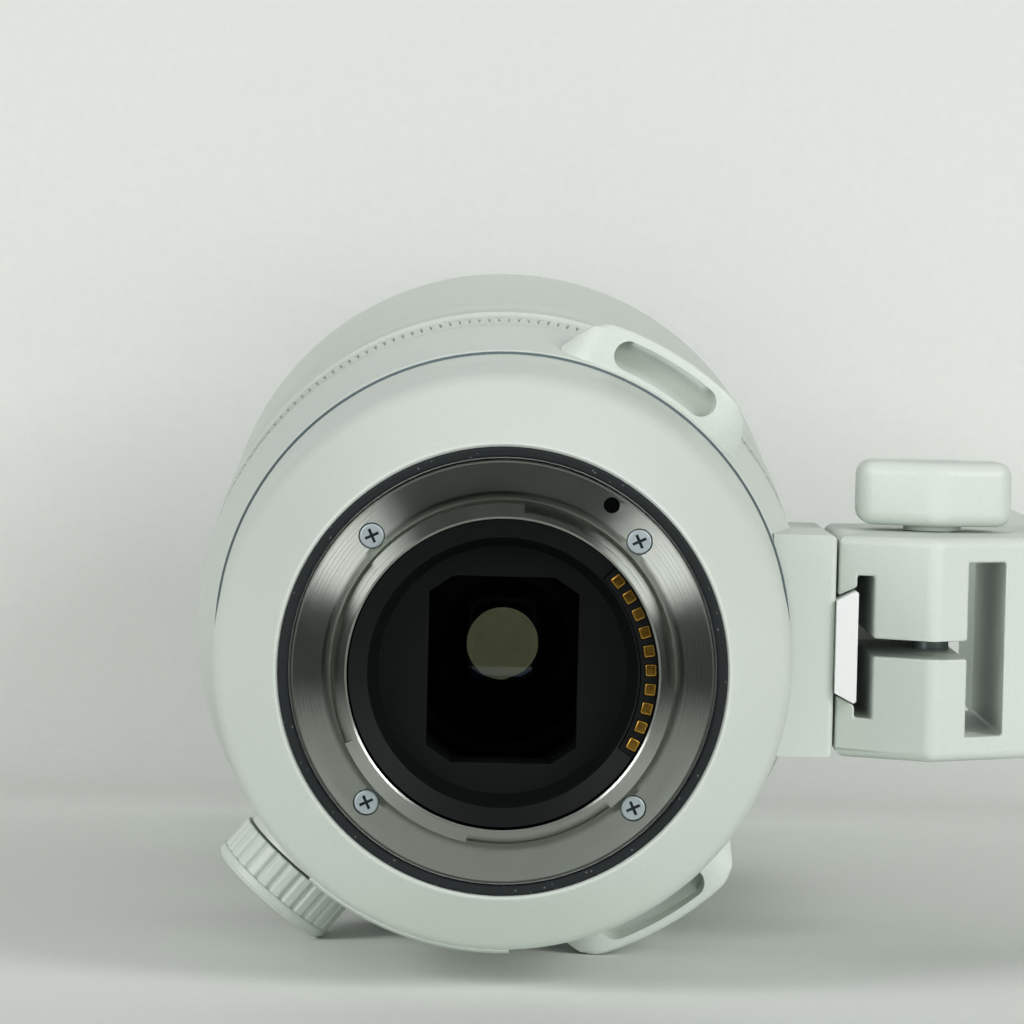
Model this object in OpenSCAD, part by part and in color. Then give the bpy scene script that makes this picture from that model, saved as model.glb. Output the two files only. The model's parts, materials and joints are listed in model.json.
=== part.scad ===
// Long white zoom lens with a turning tripod collar and a clamp-on foot.
// The optical axis is Y. The origin is the centre of the mount flange's face.
// The bayonet points to -Y, the front glass to +Y and the foot to +X.

/* [Lens mount] */
// Outer radius of the mount flange
flange_r = 28.9; // [28.4:0.1:29]
// Radius where the flat face of the flange starts
flange_face_r = 24.65; // [24.4:0.05:24.9]
// Thickness of the flange
flange_t = 2; // [1.8:0.1:2.4]
// Outer radius of the bayonet tube
bayonet_r = 22.1; // [21.9:0.05:22.3]
// Radius of the throat through the bayonet
throat_r = 21.1; // [21:0.05:21.3]
// How far the bayonet stands out behind the flange
bayonet_h = 4.4; // [4:0.1:5]
// Outer radius of the bayonet tabs
tab_r = 23.2; // [22.8:0.05:23.4]
// Thickness of the bayonet tabs
tab_t = 1.5; // [1.2:0.1:2]
// Radius of the circle of mount screws
screw_ring_r = 25.7; // [25.4:0.1:26.2]
// Radius of a mount screw's head
screw_head_r = 1.7; // [1.4:0.1:1.9]
// Outer radius of the rubber gasket round the flange
gasket_r = 30.6; // [30.2:0.1:31]
// Number of gold contacts
contact_count = 10; // [6:1:12]
// Radius of the row of contacts
contact_ring_r = 20.05; // [19.9:0.05:20.1]
// Angle from one contact to the next
contact_step = 7.48; // [7:0.02:8]
// Width of the window in the rear baffle
window_w = 20.6; // [18:0.2:22]
// Height of the window in the rear baffle
window_h = 25.6; // [22:0.2:27]

/* [Barrels] */
// How far the rear barrel stands out over the collar's journal
rear_rise = 1.5; // [1.2:0.1:1.8]
// How much wider the rear barrel is at the collar
rear_flare = 2; // [1.6:0.1:2.4]
// Length of the rear barrel in front of the flange
rear_len = 57.6; // [52:0.5:64]
// Wall of the outer barrels
barrel_wall = 2; // [1.6:0.1:2.4]
// Outer radius of the main tube, which carries the control rings
tube_r = 43; // [41:0.2:46]
// How much thinner the collar's journal is than the main tube
journal_drop = 4; // [3.6:0.1:4.4]
// Thickness of the rear frame under the journal
frame_wall = 4.8; // [4.2:0.1:5.2]
// Wall of the main tube
tube_wall = 2; // [1.6:0.1:2.2]
// Height of the switch barrel over the main tube
switch_t = 5.6; // [5.2:0.1:6]
// Length of the switch barrel
switch_len = 37.8; // [34:0.2:44]
// Height of the zoom ring and of the waist over the main tube
waist_t = 7.2; // [6.8:0.1:7.8]
// How much wider the front rim is than the waist
front_flare = 5.55; // [4.8:0.05:6.4]
// Length of the front barrel
front_len = 93.6; // [90:0.2:100]
// Distance of the filter thread from the front rim
filter_inset = 8.45; // [8:0.05:9]
// Depth of the filter thread
filter_depth = 6; // [4:0.5:7]

/* [Control rings] */
// Length of the focus ring
focus_len = 21; // [18:0.5:26]
// Height of the focus ring over the main tube
focus_t = 4.7; // [4.4:0.1:5]
// Number of ribs on the focus ring
focus_ribs = 192; // [96:8:200]
// Length of the zoom ring
zoom_len = 63.4; // [58:0.2:70]
// Number of ribs on the zoom ring
zoom_ribs = 120; // [60:4:132]
// Depth of the ribs on both rings
rib_depth = 0.6; // [0.4:0.1:0.8]
// Turn of the zoom ring from end to end
zoom_turn = 72; // [60:2:80]
// Travel of the zoom group
zoom_travel = 55; // [45:1:60]
// Radius of a focus hold button
hold_r = 4; // [3.5:0.1:4.5]

/* [Tripod collar] */
// Width of the collar along the axis
collar_len = 39.6; // [36:0.4:44]
// Height of the collar's shoulder over its journal
collar_t = 7.7; // [7.2:0.1:8.2]
// Distance from the collar's rear edge to its shoulder
shoulder_at = 20; // [17:0.5:22]
// How far the strap lugs stand out over the shoulder
lug_rise = 3.1; // [2.8:0.1:3.6]
// Length of a strap slot
strap_w = 17.2; // [15:0.1:18]
// Width of a strap slot
strap_t = 4.5; // [3.8:0.1:4.7]
// Angle of the strap lugs above and below the foot
lug_angle = 59.25; // [57:0.25:62]
// Angle of the collar lock knob round the lens
lock_angle = 230; // [222:1:238]
// Radius of the collar lock knob
lock_knob_r = 10.4; // [9.8:0.2:12]
// Height of the lock knob over the shoulder
lock_knob_rise = 7.6; // [7:0.2:9]
// Ribs round the collar lock knob
lock_ribs = 26; // [20:1:30]

/* [Foot] */
// How far the foot's seat stands out over the shoulder
seat_rise = 2.9; // [2.5:0.1:3.3]
// Width of the foot and of its seat
foot_w = 33.4; // [32:0.2:36]
// Height of the dovetail plate
dovetail_h = 3.3; // [3:0.1:3.6]
// Width of the dovetail at its root
dovetail_root_w = 13.8; // [13:0.1:14.4]
// Width of the dovetail at its top
dovetail_top_w = 16.8; // [16:0.1:17.4]
// Height of the foot's base face over the seat
base_rise = 38.4; // [37:0.4:44]
// Thickness of the foot's base
base_t = 10.5; // [9.5:0.5:12]
// Length of the foot's base in front of its rear point
base_len = 104; // [96:1:112]
// Distance of the clamp screw from the seat
clamp_rise = 15.9; // [15.4:0.1:16.4]
// Width of the clamp slit
slit_w = 2.7; // [2:0.1:3.2]
// Width of the foot knob
foot_knob_w = 23.4; // [21:0.2:26]
// Height of the foot knob
foot_knob_h = 9.8; // [9:0.2:12]
// Radius of the tripod screw holes
tripod_hole_r = 2.6; // [2.5:0.1:3.2]

/* [Iris] */
// Radius of the opening at rest
iris_open_r = 5.2; // [3:0.1:9]
// Radius of the opening with the blades out of the way
iris_full_r = 13.2; // [12.8:0.1:13.3]

/* [Fits] */
// Clearance of pieces that turn or slide on each other
run = 0.08; // [0.05:0.01:0.1]
// Clearance of pieces that are fixed together
seat = 0.06; // [0.04:0.01:0.1]
// Gap between neighbouring pieces that move
gap = 0.4; // [0.35:0.05:0.5]

/* [Hidden] */
$fn = 96;

// Colours of the real finishes
white_paint = [0.80, 0.82, 0.80];
pale_rubber = [0.74, 0.76, 0.75];
steel = [0.62, 0.61, 0.59];
black = [0.06, 0.07, 0.07];
dark_metal = [0.20, 0.20, 0.21];
gold = [0.75, 0.58, 0.25];
glass = [0.75, 0.85, 0.85, 0.4];

// Radii, each from the main tube's
journal_r = tube_r - journal_drop;
frame_in_r = journal_r - frame_wall;
rear_r = journal_r + rear_rise;
rear_front_r = rear_r + rear_flare;
focus_r = tube_r + focus_t;
switch_r = tube_r + switch_t;
waist_r = tube_r + waist_t;
front_r = waist_r + front_flare;
filter_r = front_r - filter_inset;
collar_r = journal_r + collar_t;
lug_r = collar_r + lug_rise;
lock_knob_top = collar_r + lock_knob_rise;
seat_x = collar_r + seat_rise;
base_x = seat_x + base_rise;
clamp_x = seat_x + clamp_rise;

// Radii of the glass
rear_glass_r = frame_in_r - 19.4;
steady_glass_r = frame_in_r - 19;
focus_glass_r = tube_r - 25.6;
variator_glass_r = tube_r - 21.1;
second_glass_r = filter_r - 1.4;
front_glass_r = filter_r + 0.7;
glass_seat = 0.1;
glass_wall = 2;

// Stations along the axis
collar_y = rear_len + gap;
collar_end = collar_y + collar_len;
frame_end = collar_end + gap + 0.2;
focus_y = frame_end + 0.8;
focus_end = focus_y + focus_len;
switch_y = focus_end + gap;
switch_end = switch_y + switch_len;
zoom_y = switch_end + gap;
zoom_end = zoom_y + zoom_len;
front_y = zoom_end + gap;
front_end = front_y + front_len;
lens_end = front_end + 2;
tube_reach = 39.6;
tube_end = front_y + tube_reach;
tube_in_r = tube_r - tube_wall;

// Rear frame and what stands in it
plate_y = flange_t + 0.05;
plate_end = plate_y + 3.5;
board_r = frame_in_r - 2.4;
cone_end = 20;
fit_r = frame_in_r - 0.15;
cell_y = 26;
cell_end = 46;
iris_y = 48.4;
steady_y = 59;

// Bayonet tabs as angles, counter-clockwise from the foot as seen from behind
tabs = [[83.8, 140.8], [204.8, 258.8], [310.3, 357.3]];
groove_r = 23.5;
groove_depth = 1.2;
first_screw = 45;
first_contact = 40.1;
lock_hole_angle = 58.2;
lock_hole_r = 27.1;

// Where the rear barrel's cone would meet its cylinder
lip_r = gasket_r + 0.9;
lip_y = 0.8;
cone_y = 15.4;
rear_round = 12;
pad_from = 230;
pad_to = 272.5;
pad_t = 0.7;

// Iris
blade_count = 7;
blade_step = 360 / blade_count;
blade_pivot_r = iris_full_r + 6.8;
blade_t = 0.25;
blade_pitch = 0.5;
blade_span = 118;
pivot_pin_r = 0.6;
blade_close = 2 * asin((iris_full_r - 0.94 * iris_open_r) / (2 * blade_pivot_r));

// Zoom mechanism
rod_r = 2;
rod_ring_r = tube_r - 12;
cam_r = tube_in_r - 0.15;
cam_wall = 2.85;
cell_r = cam_r - cam_wall - 1.5;
focus_cell_at = 14;
variator_at = 44;
focus_cell_y = frame_end + focus_cell_at;
variator_y = frame_end + variator_at;
follower_r = 1.9;
follower_at = 7;
key_r = 2.5;
key_angle = 45;
key_y = zoom_y + 32;
end_wall = 3;

// Magnet and coil of the focus drive
magnet_r = tube_r - 14.4;
magnet_w = 14;
magnet_h = 6;
magnet_len = 36;
coil_wall = 1.8;

// Switches, as angles round the axis
panel_angle = 270;
panel_span = 42;
panel_t = 0.8;
panel_y = switch_y + 3.6;
panel_len = 26;
switch_step = 11;
switch_w = 2.6;
switch_l = 4;
switch_throw = 3;
switch_centre = panel_y + panel_len / 2;
switch_rest = [-1.5, 0, -1.5, 0];

// Hold buttons
hold_y = front_y + 14;
hold_angles = [180, 270, 0];
hold_proud = 0.6;

// Collar, lugs and knob
lug_y = collar_y + 1.5;
lug_len = 11;
slot_floor_r = collar_r - 2.8;
strap_bar = 5.6;
strap_gap = 1.5;
lock_y = collar_y + shoulder_at;
lock_screw_r = 2.5;
lock_boss_r = lock_knob_r - 0.8;
lock_boss_rise = 0.4;
liner_t = 1;
liner_lip = 0.5;
liner_r = journal_r + run + liner_t;

// Foot, in the plane of its side faces
foot_gap = 0.5;
foot_x = seat_x + foot_gap;
point_x = clamp_x - 1.5;
point_y = collar_y - 3.8;
foot_rear = point_y + 6.8;
foot_front = collar_end - 2.6;
block_front = collar_end + 2.4;
base_in_x = base_x - base_t;
base_end = point_y + base_len;
slide_play = 0.3;
undercut_w = 21.3;
undercut_x = foot_x + dovetail_h - 0.6;
undercut_t = 2.5;
flexure_t = 5.9;
flexure_h = 26;
clamp_y = (foot_rear + foot_front) / 2;
clamp_screw_r = 3;
flexure_x = clamp_x + clamp_screw_r + 0.7;
tripod_hole_depth = 8;
dovetail_y = collar_y - 0.4;
dovetail_len = collar_len - 6.6;
slot_end = dovetail_y + dovetail_len + 0.6;
dovetail_screw_r = 1.5;

function unit(v) = v / norm(v);

function polar(angle) = [cos(angle), sin(angle)];

// Points of an arc of radius r that rounds corner b of the path a, b, c
function corner(a, b, c, r, n = 6) =
    let (u = unit(a - b), w = unit(c - b), half = acos(u * w) / 2,
         middle = b + unit(u + w) * r / sin(half),
         s = b + u * r / tan(half) - middle, e = b + w * r / tan(half) - middle,
         from = atan2(s.y, s.x), turn = (atan2(e.y, e.x) - from + 540) % 360 - 180)
    [for (i = [0:n]) middle + r * [cos(from + turn * i / n), sin(from + turn * i / n)]];

// Outline of a ribbed ring: flat tops and flat roots
function ribs(r, depth, count) =
    [for (i = [0:count - 1], k = [[0.05, 0], [0.2, 1], [0.8, 1], [0.95, 0]])
        let (a = (i + k[0]) * 360 / count, d = r - depth + depth * k[1]) d * [cos(a), sin(a)]];

// Turns local Z into the optical axis
module axial(y = 0) {
    translate([0, y, 0]) rotate([-90, 0, 0]) children();
}

// Puts what points along X at an angle round the lens, as seen from behind
module at(angle) {
    rotate([0, -angle, 0]) children();
}

// Turned piece from an outline of [radius, y] points
module lathe(outline) {
    axial() rotate_extrude() polygon(outline);
}

// Part of a turned piece, from one angle to another
module sector(from, to, outline) {
    axial() rotate([0, 0, -to]) rotate_extrude(angle = to - from) polygon(outline);
}

function box_outline(r0, r1, y0, y1) = [[r0, y0], [r1, y0], [r1, y1], [r0, y1]];

module ring(r0, r1, y0, y1) {
    lathe(box_outline(r0, r1, y0, y1));
}

module rod(r, y0, y1) {
    axial(y0) cylinder(r = r, h = y1 - y0);
}

module radial_rod(r, r0, r1, y) {
    translate([r0, y, 0]) rotate([0, 90, 0]) cylinder(r = r, h = r1 - r0);
}

// Box that stands out along X, from r0 to r1, centred on y and on the tangent
module radial_box(r0, r1, y, l, w) {
    translate([r0, y - l / 2, -w / 2]) cube([r1 - r0, l, w]);
}

// Bent glass element: rear_y is its rear vertex, and towards is 1 where it bulges to the front
module bent_glass(r, rear_y, t, bend, towards) {
    near = towards > 0 ? rear_y + t : rear_y;
    far = towards > 0 ? rear_y : rear_y + t;
    sag = bend - sqrt(bend * bend - r * r);
    start = towards > 0 ? rear_y - sag : rear_y;
    difference() {
        intersection() {
            rod(r, start - 0.5, start + t + sag + 0.5);
            translate([0, near - towards * bend, 0]) sphere(r = bend);
        }
        translate([0, far - towards * bend, 0]) sphere(r = bend);
    }
}

module mount_flange() {
    color(steel) difference() {
        union() {
            lathe([[throat_r, -bayonet_h + 0.3], [throat_r + 0.3, -bayonet_h], [bayonet_r, -bayonet_h],
                [bayonet_r, groove_depth], [groove_r, groove_depth], [groove_r, 0.6], [flange_face_r, 0],
                [flange_r - 0.35, 0], [flange_r, 0.35], [flange_r, flange_t], [throat_r, flange_t]]);
            for (t = tabs)
                sector(t[0], t[1], box_outline(throat_r + 0.4, tab_r, -bayonet_h, -bayonet_h + tab_t));
        }
        for (i = [0:3]) at(first_screw + 90 * i) translate([screw_ring_r, 0, 0]) {
            rod(screw_head_r + 0.1, -0.5, 1.15);
            rod(1, -0.5, flange_t + 1);
        }
        at(lock_hole_angle) translate([lock_hole_r, 0, 0]) rod(1.1, -0.5, flange_t + 1);
    }
}

module mount_screws() {
    color(steel) for (i = [0:3]) at(first_screw + 90 * i) translate([screw_ring_r, 0, 0]) difference() {
        union() {
            rod(screw_head_r, 0.1, 1.1);
            rod(0.85, 1, plate_end + 2);
        }
        for (turn = [0, 90]) rotate([0, turn + 20, 0]) translate([-1, -0.4, -0.2]) cube([2, 1, 0.4]);
    }
}

module mount_gasket() {
    lip = gasket_r - 1.35;
    color(black) lathe([[lip, 0.3], [lip + 0.3, 0.05], [gasket_r - 0.3, 0.05], [gasket_r, 0.35],
        [gasket_r, plate_y], [lip, plate_y]]);
}

// Window of the baffle with cut corners, in local X and Y
module window_outline(grow) {
    w = window_w / 2 + grow;
    h = window_h / 2 + grow;
    polygon([[w, h - 2.3], [w - 3.4, h], [3.4 - w, h], [-w, h - 2.3],
        [-w, 2.3 - h], [3.4 - w, -h], [w - 3.4, -h], [w, 2.3 - h]]);
}

module rear_baffle() {
    rim = throat_r - 0.2;
    color(black) difference() {
        union() {
            lathe([[0, 3.8], [rim - 3.9, 3.8], [rim - 2.5, -1.2], [rim, -2.4], [rim, plate_end + 0.1],
                [rim + 3.6, plate_end + 0.1], [rim + 3.6, plate_end + 1.4], [0, plate_end + 1.4]]);
            axial(plate_end) linear_extrude(6.5) window_outline(1.4);
        }
        axial(0) linear_extrude(20) window_outline(0);
        sector(contact_low - 0.4, contact_high + 0.4, box_outline(contact_in_r - 0.1, throat_r, -5, 3));
    }
}

contact_in_r = contact_ring_r - 1.3;
contact_high = first_contact + 4.2;
contact_low = first_contact - (contact_count - 1) * contact_step - 4.2;

module contact_pads(w, h, y0, y1) {
    for (i = [0:contact_count - 1]) at(first_contact - i * contact_step)
        translate([contact_ring_r - w / 2, y0, -h / 2]) cube([w, y1 - y0, h]);
}

module contact_block() {
    color(black) difference() {
        sector(contact_low, contact_high, box_outline(contact_in_r, throat_r - 0.15, -3.1, 2.95));
        contact_pads(1.6, 1.72, -4, -2.2);
    }
}

module contact_pins() {
    color(gold) contact_pads(1.5, 1.62, -3.35, -2.22);
}

module main_board() {
    board_y = cone_end - 5.6;
    color("darkgreen") {
        ring(throat_r + 0.4, board_r, board_y, board_y + 1.2);
        for (a = [20:40:340]) at(a) translate([board_r - 7.8, board_y + 1, -2.5]) cube([4.5, 1.3, 5]);
    }
}

module rear_cover() {
    a = [lip_r, lip_y];
    b = [rear_r, cone_y];
    c = [rear_r + 1, rear_len - 8];
    d = [rear_front_r, rear_len - 0.6];
    land = journal_r - 1.9;
    color(white_paint) difference() {
        union() {
            lathe(concat([[flange_r + 0.15, plate_y + 0.05], [gasket_r + 0.08, plate_y + 0.05],
                [gasket_r + 0.08, 0.75], [gasket_r + 0.4, 0.5]], [a], corner(a, b, c, rear_round, 10), [c, d],
                [[rear_front_r, rear_len], [land, rear_len], [land, rear_len - 3],
                [c.x - barrel_wall, rear_len - 9], [b.x - barrel_wall, cone_y + 4],
                [b.x - barrel_wall - 3.4, cone_y - 2.4], [flange_r + 0.15, 4.4]]));
            sector(pad_from, pad_to, [[b.x - 1, cone_y + 1], [b.x + pad_t - 0.5, cone_y + 2],
                [b.x + pad_t, cone_y + 3.4], [c.x + pad_t, c.y - 1], [c.x, c.y], [c.x - 1, c.y]]);
        }
        at(pad_to + 0.8) translate([rear_r + 0.3, 0, 0]) rod(0.9, 0, c.y);
    }
}

module rear_frame() {
    plate_r = flange_r - 0.02;
    color(dark_metal) difference() {
        lathe([[bayonet_r + 0.3, plate_y], [plate_r, plate_y], [plate_r, plate_end],
            [journal_r - 5.6, cone_end - 7], [journal_r - 2, cone_end], [journal_r - 2, rear_len + seat],
            [journal_r, rear_len + seat], [journal_r, frame_end], [frame_in_r, frame_end],
            [frame_in_r, cone_end + 0.5], [board_r + 0.1, cone_end - 6], [plate_r - 1.9, plate_end],
            [bayonet_r + 0.3, plate_end]]);
        for (i = [0:3]) at(first_screw + 90 * i) translate([screw_ring_r, 0, 0]) rod(0.9, 0, plate_end + 3);
        at(lock_hole_angle) translate([lock_hole_r, 0, 0]) rod(1.1, 0, plate_y + 2);
    }
}

module rear_cell() {
    bore = rear_glass_r + glass_seat;
    snout = rear_glass_r + 0.4;
    lip = rear_glass_r - 1.2;
    color(black) lathe([[snout, cell_y], [snout + 3.8, cell_y], [snout + 3.8, cell_y + 9],
        [fit_r, cell_y + 10], [fit_r, cell_end], [bore, cell_end], [bore, cell_end - 4.4],
        [lip, cell_end - 4.4], [lip, cell_end - 5.4], [snout, cell_end - 7]]);
}

module rear_lens() {
    color(glass) bent_glass(rear_glass_r, cell_end - 4.2, 2.2, 4 * rear_glass_r, -1);
}

blade_y = iris_y + 2;
drive_y = blade_y + blade_count * blade_pitch + 0.5;
drive_r = blade_pivot_r + 5.95;

module iris_housing() {
    color(black) {
        lathe([[iris_full_r + 0.2, iris_y], [fit_r, iris_y], [fit_r, drive_y + 2.2],
            [drive_r, drive_y + 2.2], [drive_r, drive_y - 0.1], [drive_r - 1.5, drive_y - 0.1],
            [drive_r - 1.5, iris_y + 1.6], [iris_full_r + 0.2, iris_y + 1.6]]);
        for (i = [0:blade_count - 1]) axial() rotate([0, 0, i * blade_step])
            translate([blade_pivot_r, 0, iris_y + 1]) cylinder(r = pivot_pin_r, h = drive_y - iris_y - 1.4);
    }
}

module iris_drive_ring() {
    color(dark_metal) difference() {
        ring(blade_pivot_r + 1.4, drive_r - run, drive_y, drive_y + 1.2);
        for (i = [0:blade_count - 1]) axial(drive_y - 1) rotate([0, 0, i * blade_step + 12])
            translate([blade_pivot_r + 2.9, 0, 0]) cylinder(r = 0.7, h = 4);
    }
}

// Blade number i lies on its own layer and turns on its own pin
module iris_blade(i) {
    color(dark_metal) axial(blade_y + i * blade_pitch) rotate([0, 0, i * blade_step]) difference() {
        translate([blade_pivot_r, 0, 0]) rotate([0, 0, blade_close]) difference() {
            union() {
                translate([-blade_pivot_r, 0, 0]) rotate_extrude(angle = blade_span)
                    translate([iris_full_r, 0]) square([6, blade_t]);
                cylinder(r = 1.5, h = blade_t);
                translate([-3, -1.2, 0]) cube([3, 2.4, blade_t]);
            }
            translate([0, 0, -1]) cylinder(r = pivot_pin_r + 0.06, h = 3);
        }
        translate([0, 0, -1]) cylinder(r = iris_open_r, h = 3);
    }
}

steady_tube_r = steady_glass_r + glass_seat + glass_wall;

module stabiliser_frame() {
    hole = steady_tube_r + 3.2;
    wall = fit_r - 4;
    color(black) lathe([[hole, steady_y + 1], [wall, steady_y + 1], [wall, steady_y], [fit_r, steady_y],
        [fit_r, steady_y + 17], [wall, steady_y + 17], [wall, steady_y + 3.4], [hole, steady_y + 3.4]]);
}

module stabiliser_carrier() {
    color(dark_metal) ring(steady_tube_r + 1.5, fit_r - 6.5, steady_y + 3.8, steady_y + 6.2);
}

module stabiliser_cell() {
    bore = steady_glass_r + glass_seat;
    flange = fit_r - 9;
    color(black) lathe([[bore, steady_y - 0.4], [steady_tube_r, steady_y - 0.4],
        [steady_tube_r, steady_y + 6.6], [flange, steady_y + 6.6], [flange, steady_y + 9],
        [steady_tube_r, steady_y + 9], [steady_tube_r, steady_y + 11], [bore, steady_y + 11]]);
}

module stabiliser_lens() {
    color(glass) bent_glass(steady_glass_r, steady_y + 6, 2.4, 4.6 * steady_glass_r, 1);
}

module rod_places() {
    for (a = [90, 270]) at(a) translate([rod_ring_r, 0, 0]) children();
}

module main_tube() {
    wall_end = frame_end + 0.05 + end_wall;
    wall_hole = magnet_r - magnet_h / 2 - 0.6;
    color(dark_metal) difference() {
        lathe([[wall_hole, frame_end + 0.05], [tube_r + 1.3, frame_end + 0.05], [tube_r + 1.3, focus_y - gap],
            [tube_r, focus_y - gap], [tube_r, tube_end], [tube_in_r, tube_end], [tube_in_r, wall_end],
            [wall_hole, wall_end]]);
        rod_places() rod(rod_r + seat, frame_end - 1, wall_end + 1);
        sector(key_angle - zoom_turn - 6, key_angle + 6,
            box_outline(tube_in_r - 1, tube_r + 1, key_y - key_r - 0.3, key_y + key_r + 0.3));
    }
}

module guide_rods() {
    color(steel) rod_places() rod(rod_r, frame_end + 0.1, tube_end + 2.6);
}

module focus_cell() {
    window = coil_wall + 0.5 + seat;
    bore = focus_glass_r + glass_seat;
    hub = bore + glass_wall;
    color(black) difference() {
        lathe([[bore, focus_cell_y - 2], [hub, focus_cell_y - 2], [hub, focus_cell_y], [cell_r, focus_cell_y],
            [cell_r, focus_cell_y + 8], [hub, focus_cell_y + 8], [hub, focus_cell_y + 12],
            [bore, focus_cell_y + 12]]);
        rod_places() rod(rod_r + run, focus_cell_y - 1, focus_cell_y + 9);
        radial_box(magnet_r - magnet_h / 2 - window, magnet_r + magnet_h / 2 + window, focus_cell_y + 4, 10,
            magnet_w + 2 * window);
    }
}

module focus_lens() {
    color(glass) bent_glass(focus_glass_r, focus_cell_y + 4, 3, 4.6 * focus_glass_r, 1);
}

module focus_coil() {
    wall = coil_wall + 0.5;
    color("sienna") difference() {
        radial_box(magnet_r - magnet_h / 2 - wall, magnet_r + magnet_h / 2 + wall, focus_cell_y + 4, 7,
            magnet_w + 2 * wall);
        radial_box(magnet_r - magnet_h / 2 - 0.5, magnet_r + magnet_h / 2 + 0.5, focus_cell_y + 4, 10,
            magnet_w + 1);
    }
}

module focus_magnet() {
    start = frame_end + 0.05 + end_wall;
    color("dimgray") radial_box(magnet_r - magnet_h / 2, magnet_r + magnet_h / 2, start + magnet_len / 2,
        magnet_len, magnet_w);
}

grip_t = focus_t / 2;

// Ribbed sleeve round the axis
module grip(r, r_in, count, y0, y1) {
    axial(y0) difference() {
        linear_extrude(y1 - y0) polygon(ribs(r, rib_depth, count));
        translate([0, 0, -1]) cylinder(r = r_in, h = y1 - y0 + 2);
    }
}

module focus_ring() {
    color(white_paint) ring(tube_r + run, focus_r - grip_t, focus_y, focus_end);
}

module focus_grip() {
    color(pale_rubber) grip(focus_r, focus_r - grip_t + seat, focus_ribs, focus_y + 0.5, focus_end - 0.5);
}

// Slots through the barrel or the panel for the four switches
module switch_slots() {
    for (i = [0:3]) at(panel_angle + (i - 1.5) * switch_step)
        radial_box(switch_r - 5, switch_r + 3, switch_centre, switch_l + 2 * switch_throw + 0.8,
            switch_w + 0.8);
}

module switch_barrel() {
    in_r = switch_r - barrel_wall;
    color(white_paint) difference() {
        lathe([[tube_r + seat, switch_y], [switch_r - 0.5, switch_y], [switch_r, switch_y + 0.5],
            [switch_r, switch_end - 8], [waist_r, switch_end - 2], [waist_r, switch_end],
            [tube_r + seat, switch_end], [tube_r + seat, switch_end - 3], [in_r, switch_end - 3],
            [in_r, switch_y + 3], [tube_r + seat, switch_y + 3]]);
        switch_slots();
    }
}

module switch_panel() {
    color(black) difference() {
        sector(panel_angle - panel_span / 2, panel_angle + panel_span / 2,
            box_outline(switch_r + seat, switch_r + panel_t, panel_y, panel_y + panel_len));
        switch_slots();
    }
}

// Switch number i with its cap above the panel and its foot under the barrel's wall
module slide_switch(i) {
    foot_r = switch_r - barrel_wall - 1.2;
    color(white_paint) at(panel_angle + (i - 1.5) * switch_step) {
        radial_box(foot_r, switch_r + panel_t + 0.9, switch_centre + switch_rest[i], switch_l, switch_w);
        radial_box(foot_r, foot_r + 0.7, switch_centre + switch_rest[i], switch_l + 3, switch_w + 2.4);
    }
}

module zoom_ring() {
    color(white_paint) difference() {
        ring(tube_r + run, waist_r - grip_t, zoom_y, zoom_end);
        at(key_angle) radial_rod(key_r + 0.1, tube_r - 1, tube_r + waist_t / 3 + 0.1, key_y);
    }
}

module zoom_grip() {
    color(pale_rubber) grip(waist_r, waist_r - grip_t + seat, zoom_ribs, zoom_y + 1, zoom_end - 1);
}

// Cam slot as a row of drilled holes along its helix
cam_holes = 44;

module zoom_cam_tube() {
    color(dark_metal) {
        difference() {
            ring(cam_r - cam_wall, cam_r, frame_end + end_wall + 0.8, tube_end - 6);
            for (i = [-1:cam_holes + 1]) at(180 + zoom_turn * i / cam_holes)
                radial_rod(follower_r + 0.5, cam_r - cam_wall - 1, cam_r + 1,
                    variator_y + follower_at + zoom_travel * i / cam_holes);
        }
        at(key_angle) radial_rod(key_r, cam_r - 1, tube_r + waist_t / 3 - 0.4, key_y);
    }
}

module variator_cell() {
    color(black) difference() {
        union() {
            ring(variator_glass_r + glass_seat, cell_r, variator_y, variator_y + 14);
            at(180) radial_rod(follower_r, cell_r - 1, cam_r - 0.3, variator_y + follower_at);
        }
        rod_places() rod(rod_r + run, variator_y - 1, variator_y + 15);
    }
}

module variator_lens() {
    color(glass) bent_glass(variator_glass_r, variator_y + 7, 3.4, 4.1 * variator_glass_r, 1);
}

flare_at = 27.6;
flare_len = 40;
flare_y = front_y + flare_at;
flare_end = flare_y + flare_len;

module front_barrel() {
    a = [waist_r, flare_y];
    b = [front_r, flare_end];
    color(white_paint) difference() {
        lathe(concat([[tube_r + seat, front_y], [waist_r, front_y]],
            corner([waist_r, front_y], a, b, 40), corner(a, b, [front_r, front_end], 30),
            [[front_r, front_end - 0.4], [front_r - 0.4, front_end], [front_r - barrel_wall - 0.3, front_end],
            [front_r - barrel_wall - 0.3, flare_end + 4], [waist_r - barrel_wall, flare_y],
            [waist_r - barrel_wall, front_y + 4], [tube_r + seat, front_y + 4]]));
        for (a = hold_angles) at(a) radial_rod(hold_r + 0.3, waist_r - 5, waist_r + 5, hold_y);
    }
}

front_fit_r = front_r - barrel_wall - 0.4;
front_seat_in = 20;
front_seat_y = front_end - front_seat_in;

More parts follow.
